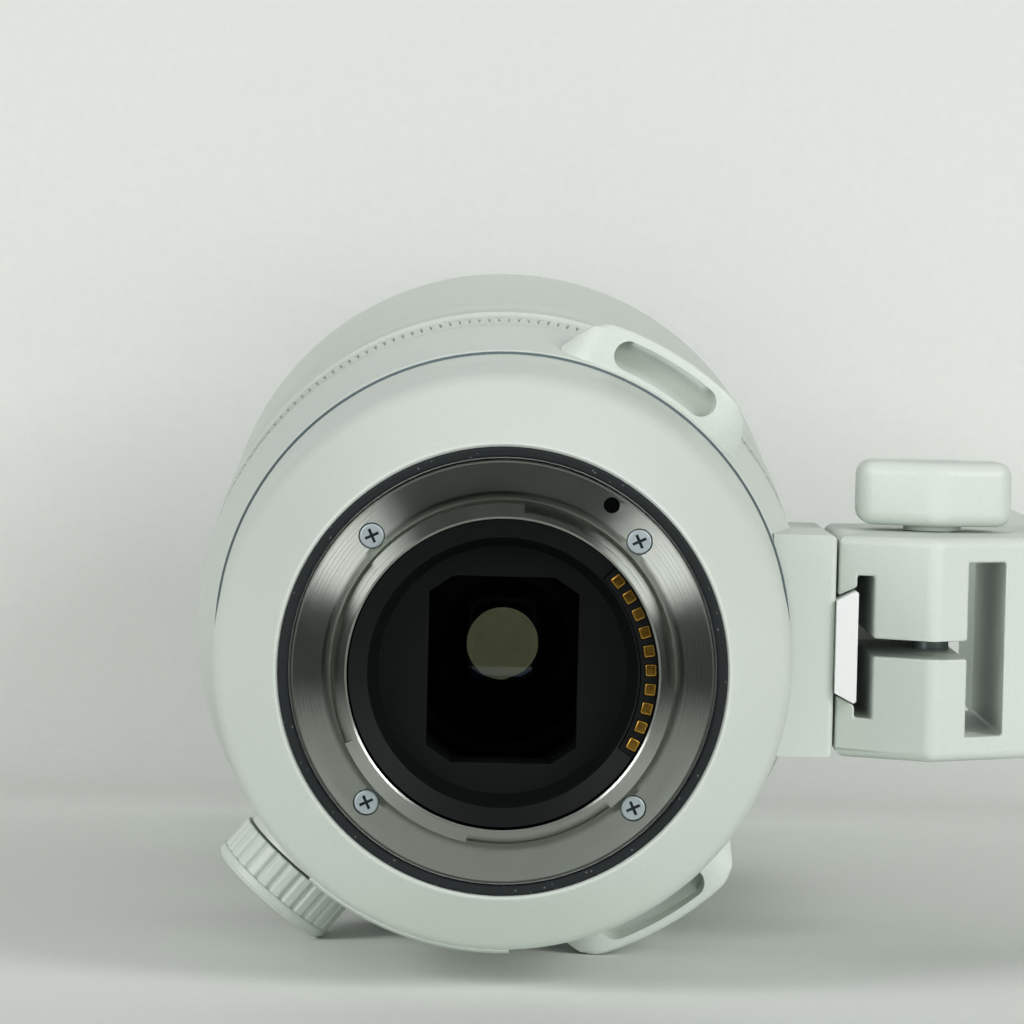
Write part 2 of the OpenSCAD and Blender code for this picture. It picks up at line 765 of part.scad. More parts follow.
module front_cell() {
    rod_hole = rod_ring_r - rod_r - 1;
    front_bore = front_glass_r + glass_seat;
    second_bore = second_glass_r + glass_seat;
    color(black) difference() {
        lathe([[rod_hole, tube_end + 0.05], [tube_r + 3.4, tube_end + 0.05], [tube_r + 3.4, tube_end + 4],
            [front_fit_r - 1, flare_end + 1], [front_fit_r, flare_end + 4.5], [front_fit_r, front_end - 10],
            [front_bore, front_end - 10], [front_bore, front_seat_y], [second_bore, front_seat_y],
            [second_bore, front_seat_y - 10], [second_bore - 2.5, front_seat_y - 10],
            [tube_in_r, tube_end + 6], [rod_hole, tube_end + 4]]);
        rod_places() rod(rod_r + seat, tube_end - 1, tube_end + 6);
    }
}

module front_lens() {
    color(glass) bent_glass(front_glass_r, front_seat_y + 5, 6, 5.4 * front_glass_r, 1);
}

module second_lens() {
    color(glass) bent_glass(second_glass_r, front_seat_y - 4.5, 4, 4.4 * second_glass_r, 1);
}

module filter_ring() {
    lip = filter_r - 0.7;
    color(black) lathe([[filter_r, lens_end], [front_r - 0.9, lens_end], [front_r - 0.4, lens_end - 0.5],
        [front_r - 0.4, front_end + 0.1], [front_fit_r, front_end + 0.1], [front_fit_r, front_end - 9.7],
        [filter_r + 0.6, front_end - 9.7], [filter_r + 0.6, front_end - 12.8], [lip, front_end - 12.8],
        [lip, lens_end - filter_depth], [filter_r, lens_end - filter_depth]]);
}

module hold_button(i) {
    skirt = waist_r - barrel_wall - 1.6;
    color(pale_rubber) at(hold_angles[i]) {
        radial_rod(hold_r, skirt, waist_r + hold_proud, hold_y);
        radial_rod(hold_r + 1.2, skirt - 1.2, skirt + 0.4, hold_y);
    }
}

// Arch of one strap lug in local X and Y, pointing along X
module lug_outline() {
    low = liner_r + 0.4;
    foot = collar_r - 2.2;
    top = 14.6;
    side = 20.5;
    curve = [for (a = [-9:3:9]) lug_r * polar(a)];
    polygon(concat([low * polar(-side), foot * polar(-side)],
        corner(foot * polar(-side), lug_r * polar(-top), lug_r * polar(-10), 5), curve,
        corner(lug_r * polar(10), lug_r * polar(top), foot * polar(side), 5),
        [foot * polar(side), low * polar(side)]));
}

// Plan of a strap lug, whose ends fall back towards the collar's cone
module lug_plan() {
    middle = lug_len / 2;
    flat = strap_w / 2 + 3.9;
    end = flat + 4.5;
    round = 8;
    polygon(concat(corner([end, middle], [flat, 0], [-flat, 0], round),
        corner([flat, 0], [-flat, 0], [-end, middle], round), [[-end, middle]],
        corner([-end, middle], [-flat, lug_len], [flat, lug_len], round),
        corner([-flat, lug_len], [flat, lug_len], [end, middle], round), [[end, middle]]));
}

// Strap slot of a lug: it goes in under the strap bar, and its rising floor leads it out in front of the bar
module strap_slot() {
    roof_r = slot_floor_r + strap_t;
    middle_r = slot_floor_r + strap_t / 2;
    half = asin((strap_w - strap_t) / 2 / middle_r);
    in_y = lug_y - 3;
    bar_y = lug_y + strap_bar;
    rise_y = bar_y - strap_t + strap_gap * sqrt(2);
    out_r = lug_r + 1;
    out_y = rise_y + out_r - slot_floor_r;
    intersection() {
        union() {
            sector(-half, half, box_outline(slot_floor_r, roof_r, in_y, out_y));
            for (e = [-1, 1]) at(e * half) translate([middle_r, 0, 0]) rod(strap_t / 2, in_y, out_y);
        }
        sector(-2 * half, 2 * half, [[slot_floor_r - 1, in_y - 1], [out_r, in_y - 1],
            [out_r, out_y], [slot_floor_r - 1, rise_y - 1]]);
    }
    sector(-half, half, [[roof_r - 0.5, bar_y], [out_r, bar_y], [out_r, out_y],
        [roof_r - 0.5, rise_y + strap_t - 0.5]]);
}

module tripod_collar() {
    shoulder = collar_y + shoulder_at;
    half_w = foot_w / 2 - 0.1;
    rear_face = collar_y + liner_lip + seat;
    color(white_paint) difference() {
        union() {
            lathe([[liner_r, rear_face], [rear_front_r + 0.3, rear_face],
                [rear_front_r + 0.6, rear_face + 0.3], [collar_r - 0.2, shoulder - 1.4],
                [collar_r, shoulder - 0.4], [collar_r, shoulder + 1],
                [collar_r - 0.3, shoulder + 2], [collar_r - 0.3, collar_end - 0.6],
                [collar_r - 0.9, collar_end], [liner_r, collar_end]]);
            for (s = [-1, 1]) at(s * lug_angle) intersection() {
                axial(lug_y) linear_extrude(lug_len) lug_outline();
                translate([liner_r, lug_y, 0]) rotate([0, 90, 0]) linear_extrude(lug_r) lug_plan();
            }
            translate([liner_r, collar_y + 0.6, -half_w])
                cube([seat_x - liner_r, collar_len - 1.2, 2 * half_w]);
            at(lock_angle) radial_rod(lock_boss_r, liner_r + 1, collar_r + lock_boss_rise, lock_y);
        }
        rod(liner_r, collar_y - 1, collar_end + 1);
        for (s = [-1, 1]) at(s * lug_angle) strap_slot();
        at(lock_angle) radial_rod(lock_screw_r + 0.1, journal_r - 2, lug_r, lock_y);
        dovetail_screw_places() radial_rod(dovetail_screw_r, seat_x - 6, seat_x + 2, 0);
    }
}

module collar_liner() {
    color(black) difference() {
        lathe([[journal_r + run, collar_y], [rear_front_r + 0.4, collar_y],
            [rear_front_r + 0.4, collar_y + liner_lip], [liner_r - seat, collar_y + liner_lip],
            [liner_r - seat, collar_end - 1], [journal_r + run, collar_end - 1]]);
        at(lock_angle) radial_rod(lock_screw_r + 0.4, journal_r - 2, liner_r + 2, lock_y);
    }
}

module collar_lock_knob() {
    bottom = collar_r + lock_boss_rise + 0.35;
    rim = 1.2;
    color(white_paint) at(lock_angle) translate([0, lock_y, 0]) difference() {
        union() {
            translate([bottom, 0, 0]) rotate([0, 90, 0])
                linear_extrude(lock_knob_top - bottom - rim) polygon(ribs(lock_knob_r - 0.1, 0.7, lock_ribs));
            radial_rod(lock_knob_r, lock_knob_top - rim - 0.5, lock_knob_top - 0.4, 0);
            radial_rod(lock_knob_r - 0.4, lock_knob_top - 1, lock_knob_top, 0);
        }
        radial_rod(lock_screw_r + seat, bottom - 1, lock_knob_top - 2.5, 0);
    }
}

module collar_lock_screw() {
    color(steel) at(lock_angle) radial_rod(lock_screw_r, journal_r + 0.3, lock_knob_top - 2.6, lock_y);
}

module dovetail_screw_places() {
    for (y = [dovetail_y + 6, dovetail_y + dovetail_len - 6], z = [-3.4, 3.4])
        translate([0, y, z]) children();
}

module dovetail_plate() {
    root = dovetail_root_w / 2;
    top = dovetail_top_w / 2;
    color(steel) difference() {
        axial(dovetail_y) linear_extrude(dovetail_len) polygon([[seat_x + 0.02, -root], [seat_x + 0.02, root],
            [seat_x + dovetail_h - 0.4, top], [seat_x + dovetail_h, top - 0.3],
            [seat_x + dovetail_h, 0.3 - top], [seat_x + dovetail_h - 0.4, -top]]);
        dovetail_screw_places() {
            radial_rod(dovetail_screw_r + 0.1, seat_x - 1, seat_x + 9, 0);
            radial_rod(2.8, seat_x + dovetail_h - 1.6, seat_x + 9, 0);
        }
    }
}

module dovetail_screws() {
    color(steel) dovetail_screw_places() difference() {
        union() {
            radial_rod(dovetail_screw_r - 0.1, seat_x - 5.5, seat_x + dovetail_h - 1, 0);
            radial_rod(2.7, seat_x + dovetail_h - 1.55, seat_x + dovetail_h - 0.1, 0);
        }
        translate([seat_x + dovetail_h - 0.8, 0, 0]) rotate([0, 90, 0]) cylinder(r = 1.3, h = 4, $fn = 6);
    }
}

// Side of the foot in X and Y: clamp block behind, base plate reaching forward
module foot_outline() {
    polygon(concat([[foot_x, foot_rear], [point_x, point_y]],
        corner([point_x, point_y], [base_x, point_y + 0.61 * (base_x - point_x)], [base_x, base_end], 3),
        corner([base_x, point_y], [base_x, base_end], [base_in_x, base_end], 3),
        corner([base_x, base_end], [base_in_x + 1, base_end], [base_in_x, base_end - 12], 3),
        corner([base_in_x, base_end - 12], [base_in_x, block_front + 2], [point_x, block_front], 8),
        [[point_x, block_front], [foot_x, foot_front]]));
}

module foot_body() {
    slope = (dovetail_top_w - dovetail_root_w) / 2 / (dovetail_h - 0.4);
    root = dovetail_root_w / 2 + slide_play * sqrt(1 + slope * slope);
    slot_y = point_y - 5;
    slot_top = dovetail_h + slide_play;
    slot_l = slot_end - slot_y;
    color(white_paint) difference() {
        translate([0, 0, -foot_w / 2]) linear_extrude(foot_w) foot_outline();
        axial(slot_y) linear_extrude(slot_l) polygon([[seat_x, root], [seat_x, -root],
            [seat_x + slot_top, -root - slope * slot_top], [seat_x + slot_top, root + slope * slot_top]]);
        translate([undercut_x, slot_y, -undercut_w / 2]) cube([undercut_t, slot_l, undercut_w]);
        translate([undercut_x + 1, slot_y, -slit_w / 2]) cube([flexure_x - undercut_x, slot_l, slit_w]);
        translate([flexure_x, slot_y, -flexure_h / 2]) cube([flexure_t, collar_len + 30, flexure_h]);
        translate([clamp_x, clamp_y, 0]) cylinder(r = clamp_screw_r + 0.3, h = foot_w);
        translate([clamp_x, clamp_y, -foot_w / 2 + 2]) cylinder(r = clamp_screw_r + 0.1, h = foot_w / 2);
        for (y = [base_end - 28, base_end - 58])
            translate([base_x - tripod_hole_depth, y, 0]) rotate([0, 90, 0])
                cylinder(r = tripod_hole_r, h = tripod_hole_depth + 1);
    }
}

module foot_knob() {
    bottom = foot_w / 2 + 0.9;
    w = foot_knob_w / 2;
    color(white_paint) translate([clamp_x, clamp_y, bottom]) difference() {
        union() {
            linear_extrude(foot_knob_h) polygon([[w, -5], [w, 5], [0, 9], [-w, 5], [-w, -5], [0, -9]]);
            translate([0, 0, -0.8]) cylinder(r = 4.4, h = 2);
        }
        translate([0, 0, -2]) cylinder(r = clamp_screw_r + seat, h = foot_knob_h - 1);
    }
}

module foot_clamp_screw() {
    color(steel) translate([clamp_x, clamp_y, -foot_w / 2 + 4])
        cylinder(r = clamp_screw_r, h = foot_w - 4 + foot_knob_h - 2.6);
}

mount_flange();
mount_screws();
mount_gasket();
rear_baffle();
contact_block();
contact_pins();
main_board();
rear_cover();
rear_frame();
rear_cell();
rear_lens();
iris_housing();
iris_drive_ring();
iris_blade(0);  // iris_blade_1
iris_blade(1);  // iris_blade_2
iris_blade(2);  // iris_blade_3
iris_blade(3);  // iris_blade_4
iris_blade(4);  // iris_blade_5
iris_blade(5);  // iris_blade_6
iris_blade(6);  // iris_blade_7
stabiliser_frame();
stabiliser_carrier();
stabiliser_cell();
stabiliser_lens();
main_tube();
guide_rods();
focus_cell();
focus_lens();
focus_coil();
focus_magnet();
focus_ring();
focus_grip();
switch_barrel();
switch_panel();
slide_switch(0);  // focus_mode_switch
slide_switch(1);  // focus_range_switch
slide_switch(2);  // steady_switch
slide_switch(3);  // steady_mode_switch
zoom_ring();
zoom_grip();
zoom_cam_tube();
variator_cell();
variator_lens();
front_barrel();
front_cell();
front_lens();
second_lens();
filter_ring();
hold_button(0);  // hold_button_1
hold_button(1);  // hold_button_2
hold_button(2);  // hold_button_3
tripod_collar();
collar_liner();
collar_lock_knob();
collar_lock_screw();
dovetail_plate();
dovetail_screws();
foot_body();
foot_knob();
foot_clamp_screw();
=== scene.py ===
# %% [markdown]
# # A white telephoto zoom lens, seen from its mount
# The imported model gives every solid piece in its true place. This lesson keeps those solids as its frame,
# rounds their edges as casting and paint do, gives each finish a material of its own, adds the fine thread
# inside the front rim, and then sets up the photograph's table, camera and light.

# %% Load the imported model
import json
from math import atan2, cos, degrees, hypot, pi, radians, sin

import bmesh
import bpy
from mathutils import Matrix, Quaternion, Vector

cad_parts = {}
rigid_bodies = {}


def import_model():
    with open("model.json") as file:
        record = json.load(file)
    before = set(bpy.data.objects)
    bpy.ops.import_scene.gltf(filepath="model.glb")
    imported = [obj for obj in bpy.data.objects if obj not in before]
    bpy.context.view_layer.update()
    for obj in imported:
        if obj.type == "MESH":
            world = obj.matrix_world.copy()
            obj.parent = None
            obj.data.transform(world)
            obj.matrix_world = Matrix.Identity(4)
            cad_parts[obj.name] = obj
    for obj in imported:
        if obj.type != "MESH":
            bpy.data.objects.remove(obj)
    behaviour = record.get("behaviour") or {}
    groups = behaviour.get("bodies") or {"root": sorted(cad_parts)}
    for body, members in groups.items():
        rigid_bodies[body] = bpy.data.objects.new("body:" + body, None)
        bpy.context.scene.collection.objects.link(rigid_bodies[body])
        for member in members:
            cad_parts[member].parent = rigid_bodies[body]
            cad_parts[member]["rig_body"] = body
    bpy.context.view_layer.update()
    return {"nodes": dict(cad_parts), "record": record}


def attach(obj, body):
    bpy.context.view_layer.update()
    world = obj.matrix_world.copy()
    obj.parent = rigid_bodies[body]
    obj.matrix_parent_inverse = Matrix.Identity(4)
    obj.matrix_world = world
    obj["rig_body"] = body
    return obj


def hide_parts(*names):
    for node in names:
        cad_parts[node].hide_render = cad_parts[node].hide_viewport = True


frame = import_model()
nodes = frame["nodes"]
slot_of = {part["node"]: part["material_slot"] for part in frame["record"]["subparts"]}
MM = 0.001
print("solids in the frame:", len(nodes))

# %% [markdown]
# ## Colours and nodes
# A colour picked on a screen is sRGB, but Blender's light is linear. One function turns the hex code of a
# paint chip into linear numbers, and another adds a shader node with its settings and links in one go, so
# that each material below reads as a short recipe. A third starts a material from its Principled shader.
# Object coordinates are metres here, so a fourth turns a pattern's size in millimetres into its scale.

# %% Helpers for materials
def chip(code, shade=1.0):
    """Linear colour of an sRGB hex code, made lighter or darker by shade."""
    parts = [int(code[i:i + 2], 16) / 255 for i in (1, 3, 5)]
    linear = [p / 12.92 if p <= 0.04045 else ((p + 0.055) / 1.055) ** 2.4 for p in parts]
    return [min(1.0, c * shade) for c in linear] + [1.0]


def add(tree, kind, wires=None, **settings):
    """Adds a node. Wires gives each socket a value, or the output that feeds it."""
    node = tree.nodes.new(kind)
    for name, value in settings.items():
        setattr(node, name, value)
    for socket, value in (wires or {}).items():
        if isinstance(value, bpy.types.NodeSocket):
            tree.links.new(value, node.inputs[socket])
        else:
            node.inputs[socket].default_value = value
    return node


def finish(name, **sockets):
    """A new material, its node tree, its Principled shader and its Object coordinates.

    Sockets are the shader's own, named with _ for a space.
    """
    made = bpy.data.materials.new(name)
    made.use_nodes = True
    shader = made.node_tree.nodes["Principled BSDF"]
    for socket, value in sockets.items():
        shader.inputs[socket.replace("_", " ")].default_value = value
    place = add(made.node_tree, "ShaderNodeTexCoord").outputs["Object"]
    return made, made.node_tree, shader, place


def per_mm(size):
    """Texture scale of a pattern whose features are that many millimetres apart."""
    return 1 / (size * MM)


ENAMEL_CHIP = "#d4dcd4"
print("white paint chip in linear light:", [round(c, 3) for c in chip(ENAMEL_CHIP)[:3]])

# %% [markdown]
# ## White enamel and pale rubber
# The barrels are light metal under a baked white enamel that keeps the sun's heat off the glass. The enamel is
# sprayed slightly dry, so it dries to a fine orange-peel grain. A picture of such paint could be wrapped round
# each barrel, but it would show its seam. A noise in space has none: one of about half a millimetre drives a
# shallow bump and a faint speckle, and a slow, wide one lets the tone drift as it does on a handled barrel.
# The rubber of the rings has the same build in a duller and slightly darker chip.

# %% White enamel
DRIFT_MM = 45
TONES, TONE_SPAN = (0.96, 1.03), (0.1, 0.42)


def sprayed(name, code, rough, grain_mm, relief):
    """Pale finish with a fine grain: a bump of that relief in mm, a speckle and a slow drift of tone."""
    made, tree, shader, place = finish(name, Roughness=rough)
    drift = add(tree, "ShaderNodeTexNoise", {"Vector": place, "Scale": per_mm(DRIFT_MM), "Detail": 3.0})
    grain = add(tree, "ShaderNodeTexNoise", {"Vector": place, "Scale": per_mm(grain_mm), "Detail": 3.0})
    blend = add(tree, "ShaderNodeMath", {0: drift.outputs["Fac"], 1: grain.outputs["Fac"]},
                operation="MULTIPLY")
    tone = add(tree, "ShaderNodeValToRGB", {"Fac": blend.outputs[0]})
    for end, shade, spot in zip(tone.color_ramp.elements, TONES, TONE_SPAN):
        end.color = chip(code, shade)
        end.position = spot
    tree.links.new(tone.outputs["Color"], shader.inputs["Base Color"])
    bump = add(tree, "ShaderNodeBump",
               {"Height": grain.outputs["Fac"], "Strength": 0.6, "Distance": relief * MM})
    tree.links.new(bump.outputs["Normal"], shader.inputs["Normal"])
    return made


white_enamel = sprayed("baked_white_enamel", ENAMEL_CHIP, rough=0.42, grain_mm=0.45, relief=0.014)
pale_rubber = sprayed("pale_grey_rubber", "#c9d0c9", rough=0.7, grain_mm=0.3, relief=0.04)
print("pale finishes:", white_enamel.name, pale_rubber.name)

# %% [markdown]
# ## Turned steel of the mount
# The mount ring is bright steel faced on a lathe. The tool leaves fine circular grooves, which spread light
# across themselves, so the ring shows bright and dark spokes as an old record does. Such grooves are far too
# fine to model, so anisotropy gives their effect: the shader's tangent points away from the optical axis, the
# way the grooves spread the light. A noise that depends only on the distance from the axis makes single
# grooves, drawn wider than real so that they show. The same bump dishes the ring's shading, while the solid
# stays flat, so that each spoke shows one side of the room only.

# %% Turned steel
DISH = 0.2
GROOVE_MM, GROOVE_DEPTH_MM, WEAR_MM = 0.4, 0.02, 3
POLISHED, WORN = 0.26, 0.33
turned_steel, tree, shader, place = finish(
    "turned_steel", Metallic=1.0, Anisotropic=1.0, Base_Color=chip("#b2b7b0"))
across = add(tree, "ShaderNodeVectorMath", {0: place, 1: (1, 0, 1)}, operation="MULTIPLY")
outward = add(tree, "ShaderNodeVectorMath", {0: across.outputs[0]}, operation="NORMALIZE")
tree.links.new(outward.outputs[0], shader.inputs["Tangent"])
from_axis = add(tree, "ShaderNodeVectorMath", {0: across.outputs[0]}, operation="LENGTH").outputs["Value"]
grooves = add(tree, "ShaderNodeTexNoise", {"W": from_axis, "Scale": per_mm(GROOVE_MM), "Detail": 2.0},
              noise_dimensions="1D")
cut = add(tree, "ShaderNodeMath", {0: grooves.outputs["Fac"], 1: GROOVE_DEPTH_MM * MM}, operation="MULTIPLY")
profile = add(tree, "ShaderNodeMath", {0: from_axis, 1: DISH, 2: cut.outputs[0]}, operation="MULTIPLY_ADD")
bump = add(tree, "ShaderNodeBump", {"Height": profile.outputs[0], "Strength": 1.0, "Distance": -1.0})
tree.links.new(bump.outputs["Normal"], shader.inputs["Normal"])
wear = add(tree, "ShaderNodeTexNoise", {"Vector": place, "Scale": per_mm(WEAR_MM), "Detail": 4.0})
polish = add(tree, "ShaderNodeMapRange", {"Value": wear.outputs["Fac"], "To Min": POLISHED, "To Max": WORN})
tree.links.new(polish.outputs["Result"], shader.inputs["Roughness"])
print("mount metal:", turned_steel.name)

# %% [markdown]
# ## Small metals
# The dovetail under the collar is milled, with streaks along its length. Screws are zinc plated, which gives
# steel a cool, slightly blotchy blue. The contacts are gold on brass. Each could be a recipe of its own, but
# they differ only in colour, gloss and grain, so one function makes them all from a fine noise, stretched
# where a cutter has drawn it out. The photograph's dovetail shines at the camera, as an end that is cut aslant
# does. Lean gives it that shading, while the solid stays square.

# %% Small metals
GLOSS_DRIFT = 0.1


def metal(name, code, rough, grain_mm, relief, stretch=(1, 1, 1), lean=(0, 0, 0)):
    """Metal with a fine grain of that relief in mm, which stretch draws out into streaks.

    Lean is the slope of the shading along each axis.
    """
    made, tree, shader, place = finish(name, Metallic=1.0, Base_Color=chip(code))
    lie = add(tree, "ShaderNodeMapping", {"Vector": place, "Scale": stretch})
    grain = add(tree, "ShaderNodeTexNoise",
                {"Vector": lie.outputs[0], "Scale": per_mm(grain_mm), "Detail": 3.0})
    gloss = add(tree, "ShaderNodeMapRange", {"Value": grain.outputs["Fac"], "To Min": rough - GLOSS_DRIFT,
                                             "To Max": rough + GLOSS_DRIFT})
    tree.links.new(gloss.outputs["Result"], shader.inputs["Roughness"])
    slant = add(tree, "ShaderNodeVectorMath", {0: place, 1: lean}, operation="DOT_PRODUCT")
    cut = add(tree, "ShaderNodeMath", {0: grain.outputs["Fac"], 1: relief * MM, 2: slant.outputs["Value"]},
              operation="MULTIPLY_ADD")
    bump = add(tree, "ShaderNodeBump", {"Height": cut.outputs[0], "Strength": 1.0, "Distance": 1.0})
    tree.links.new(bump.outputs["Normal"], shader.inputs["Normal"])
    return made


milled_steel = metal("milled_steel", "#f4f6f5", rough=0.58, grain_mm=0.3, relief=0.004,
                     stretch=(1, 0.05, 1), lean=(-0.22, 0, -0.14))
zinc_plate = metal("zinc_plated_steel", "#c3ced3", rough=0.34, grain_mm=0.8, relief=0.0016)
gold_plate = metal("gold_plated_brass", "#c79a45", rough=0.3, grain_mm=0.5, relief=0.008)
copper_wire = metal("enamelled_copper_wire", "#9c5a34", rough=0.35, grain_mm=0.2, relief=0.008)
nickel_plate = metal("nickel_plated_magnet", "#8d9093", rough=0.3, grain_mm=0.5, relief=0.004)
small_metals = (milled_steel, zinc_plate, gold_plate, copper_wire, nickel_plate)
print("small metals:", [made.name for made in small_metals])

# %% [markdown]
# ## Screw heads of the mount
# These four screws are zinc plated too, but their heads are dull from handling, and each cross is painted
# dark, as painted shade in its recess. The cross could have a material of its own, but a solid's faces
# can't be told apart by name. It is cut half a millimetre deep, so depth along the optical axis tells where
# the painted shade goes.

# %% Screw heads of the mount
# The second chip is painted shade for the cross recess.
HEAD_CHIP, CROSS_SHADE_CHIP = "#dfeaef", "#4a5458"
CROSS_SIDE_MM, CROSS_FLOOR_MM = 0.42, 0.5
screw_plate = metal("zinc_plated_screw_heads", HEAD_CHIP, rough=0.6, grain_mm=0.8, relief=0.0016)
tree = screw_plate.node_tree
depth = add(tree, "ShaderNodeSeparateXYZ", {0: tree.nodes["Texture Coordinate"].outputs["Object"]})
recess = add(tree, "ShaderNodeMapRange", {"Value": depth.outputs["Y"], "From Min": CROSS_SIDE_MM * MM,
                                          "From Max": CROSS_FLOOR_MM * MM})
# Painted shade: the head's chip turns dark with depth into the cross.
painted_cross_shade = add(tree, "ShaderNodeValToRGB", {"Fac": recess.outputs["Result"]})
for end, code in zip(painted_cross_shade.color_ramp.elements, (HEAD_CHIP, CROSS_SHADE_CHIP)):
    end.color = chip(code)
tree.links.new(painted_cross_shade.outputs["Color"], tree.nodes["Principled BSDF"].inputs["Base Color"])
print("screw heads:", screw_plate.name)

# %% [markdown]
# ## Black parts
# Inside the mount everything is black, to swallow stray light. Moulded plastic has a fine matt skin, anodised
# aluminium is a little glossier, and the gasket's rubber is dull with pale specks of dust. Felt and circuit
# board have the same build in their own colours. The specks could be scattered as tiny meshes, but the cells
# of a Voronoi texture give a dot each, and cost nothing.

# %% Black parts
SPECK_MM, SPECK_SIZE = 1.1, 0.05
DUST_CHIP, FLECK_SHADE = "#6d7374", 1.15


def black(name, code, rough, skin_mm, relief, gloss=0.3, dust=0.0):
    """Dark finish with a fine skin, and where dust is above 0, pale specks on it."""
    made, tree, shader, place = finish(name, Roughness=rough, Specular_IOR_Level=gloss)
    skin = add(tree, "ShaderNodeTexNoise", {"Vector": place, "Scale": per_mm(skin_mm), "Detail": 2.0})
    specks = add(tree, "ShaderNodeTexVoronoi", {"Vector": place, "Scale": per_mm(SPECK_MM)})
    pale = add(tree, "ShaderNodeValToRGB", {"Fac": specks.outputs["Distance"]})
    pale.color_ramp.interpolation = "CONSTANT"
    pale.color_ramp.elements[0].color = chip(DUST_CHIP) if dust else chip(code, FLECK_SHADE)
    pale.color_ramp.elements[1].color = chip(code)
    pale.color_ramp.elements[1].position = SPECK_SIZE + dust
    tree.links.new(pale.outputs["Color"], shader.inputs["Base Color"])
    bump = add(tree, "ShaderNodeBump",
               {"Height": skin.outputs["Fac"], "Strength": 0.5, "Distance": relief * MM})
    tree.links.new(bump.outputs["Normal"], shader.inputs["Normal"])
    return made


black_plastic = black("matt_black_plastic", "#0a0d0d", rough=0.55, skin_mm=0.25, relief=0.02, gloss=0.18)
black_metal = black("black_anodised_aluminium", "#0f1112", rough=0.45, skin_mm=0.3, relief=0.01)
seal_rubber = black("black_seal_rubber", "#1c2122", rough=0.75, skin_mm=0.3, relief=0.05, dust=0.05)
grey_felt = black("grey_felt_washer", "#69777a", rough=0.9, skin_mm=0.3, relief=0.05)
green_board = black("green_circuit_board", "#1d4a30", rough=0.4, skin_mm=0.6, relief=0.02)
dark_finishes = (black_plastic, black_metal, seal_rubber, grey_felt, green_board)
print("dark finishes:", [made.name for made in dark_finishes])

# %% [markdown]
# ## Coated glass
# Lens glass is coated against reflections, and a film of a few hundred nanometres turns what is left of them
# purple and green. The tint could be painted on, but it has to change with the angle of view. Principled's
# thin film works it out from the film's real thickness. A faint smear of roughness keeps the glass from
# looking like an empty hole.

# %% Coated glass
SMEAR_MM, HAZE = 18, 0.02
lens_glass, tree, shader, place = finish(
    "coated_optical_glass", IOR=1.5, Transmission_Weight=1.0, Specular_IOR_Level=0.15,
    Base_Color=chip("#dfe0d8"), Thin_Film_Thickness=320.0, Thin_Film_IOR=1.38)
smear = add(tree, "ShaderNodeTexNoise", {"Vector": place, "Scale": per_mm(SMEAR_MM), "Detail": 4.0})
haze = add(tree, "ShaderNodeMapRange", {"Value": smear.outputs["Fac"], "To Min": 0.0, "To Max": HAZE})
tree.links.new(haze.outputs["Result"], shader.inputs["Roughness"])
print("glass:", lens_glass.name)

# %% [markdown]
# ## A finish for every solid
# The record gives each solid a material slot, so one table from slot to finish dresses all of them, the pieces
# inside the barrels too. Three solids differ from their slot: the dovetail was milled and not turned, the liner
# that shows as a thin line round the collar is felt, and the mount screws have painted shade in their crosses.

# %% Dress the solids
finish_of = {
    "white_paint": white_enamel, "pale_rubber": pale_rubber, "mount_steel": turned_steel,
    "screw_steel": zinc_plate, "seal_rubber": seal_rubber, "black_plastic": black_plastic,
    "black_metal": black_metal, "gold_contact": gold_plate, "circuit_board": green_board,
    "copper_wire": copper_wire, "magnet_steel": nickel_plate, "lens_glass": lens_glass}
exception = {"dovetail_plate": milled_steel, "collar_liner": grey_felt, "mount_screws": screw_plate}
for name, solid in nodes.items():
    solid.data.materials.clear()
    solid.data.materials.append(exception.get(name) or finish_of[slot_of[name]])
print("solids dressed:", len(nodes))

# %% [markdown]
# ## Soft edges
# A casting has no knife edges, and paint rounds them further; the thin highlight on a rounded edge tells the
# eye what a thing is made of. A Bevel modifier could round them, but it takes every edge of a piece alike.
# Here a solid's mesh, which is loose triangles, is copied and merged, its flat faces are joined, and the edges
# that turn sharply are bevelled. Each cut has a width, and a test of where an edge is, because the same piece
# has broad rounds outside and crisp ones in its slots. Weighted normals keep the flats flat.

# %% Round the edges of a solid
CREASE, FLAT = radians(30), radians(0.3)
MERGE_MM, ROUND_STEPS = 0.004, 4


def soften(name, *cuts, clamp=False):
    """Puts a rounded copy in a solid's place.

    A cut is a width in millimetres, and a test of an edge's middle and length, in millimetres too.
    Clamp narrows all the bevels of a cut to what its shortest edge can take.
    """
    solid = nodes[name]
    shape = bmesh.new()
    shape.from_mesh(solid.data)
    bmesh.ops.remove_doubles(shape, verts=shape.verts, dist=MERGE_MM * MM)
    bmesh.ops.dissolve_limit(shape, angle_limit=FLAT, verts=shape.verts, edges=shape.edges)
    for width, test in cuts:
        sharp = [e for e in shape.edges if len(e.link_faces) == 2 and e.calc_face_angle() > CREASE
                 and test((e.verts[0].co + e.verts[1].co) / 2 / MM, e.calc_length() / MM)]
        bmesh.ops.bevel(shape, geom=sharp, offset=width * MM, segments=ROUND_STEPS, profile=0.5,
                        affect="EDGES", clamp_overlap=clamp, material=-1)
    for face in shape.faces:
        face.smooth = True
    for edge in shape.edges:
        edge.smooth = len(edge.link_faces) == 2 and edge.calc_face_angle() < CREASE
    mesh = bpy.data.meshes.new("soft_" + name)
    shape.to_mesh(mesh)
    shape.free()
    mesh.materials.append(solid.data.materials[0])
    piece = bpy.data.objects.new("soft_" + name, mesh)
    bpy.context.scene.collection.objects.link(piece)
    piece.modifiers.new("even_light", "WEIGHTED_NORMAL").keep_sharp = True
    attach(piece, solid["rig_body"])
    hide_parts(name)
    print(f"{piece.name}: {len(mesh.polygons)} faces")


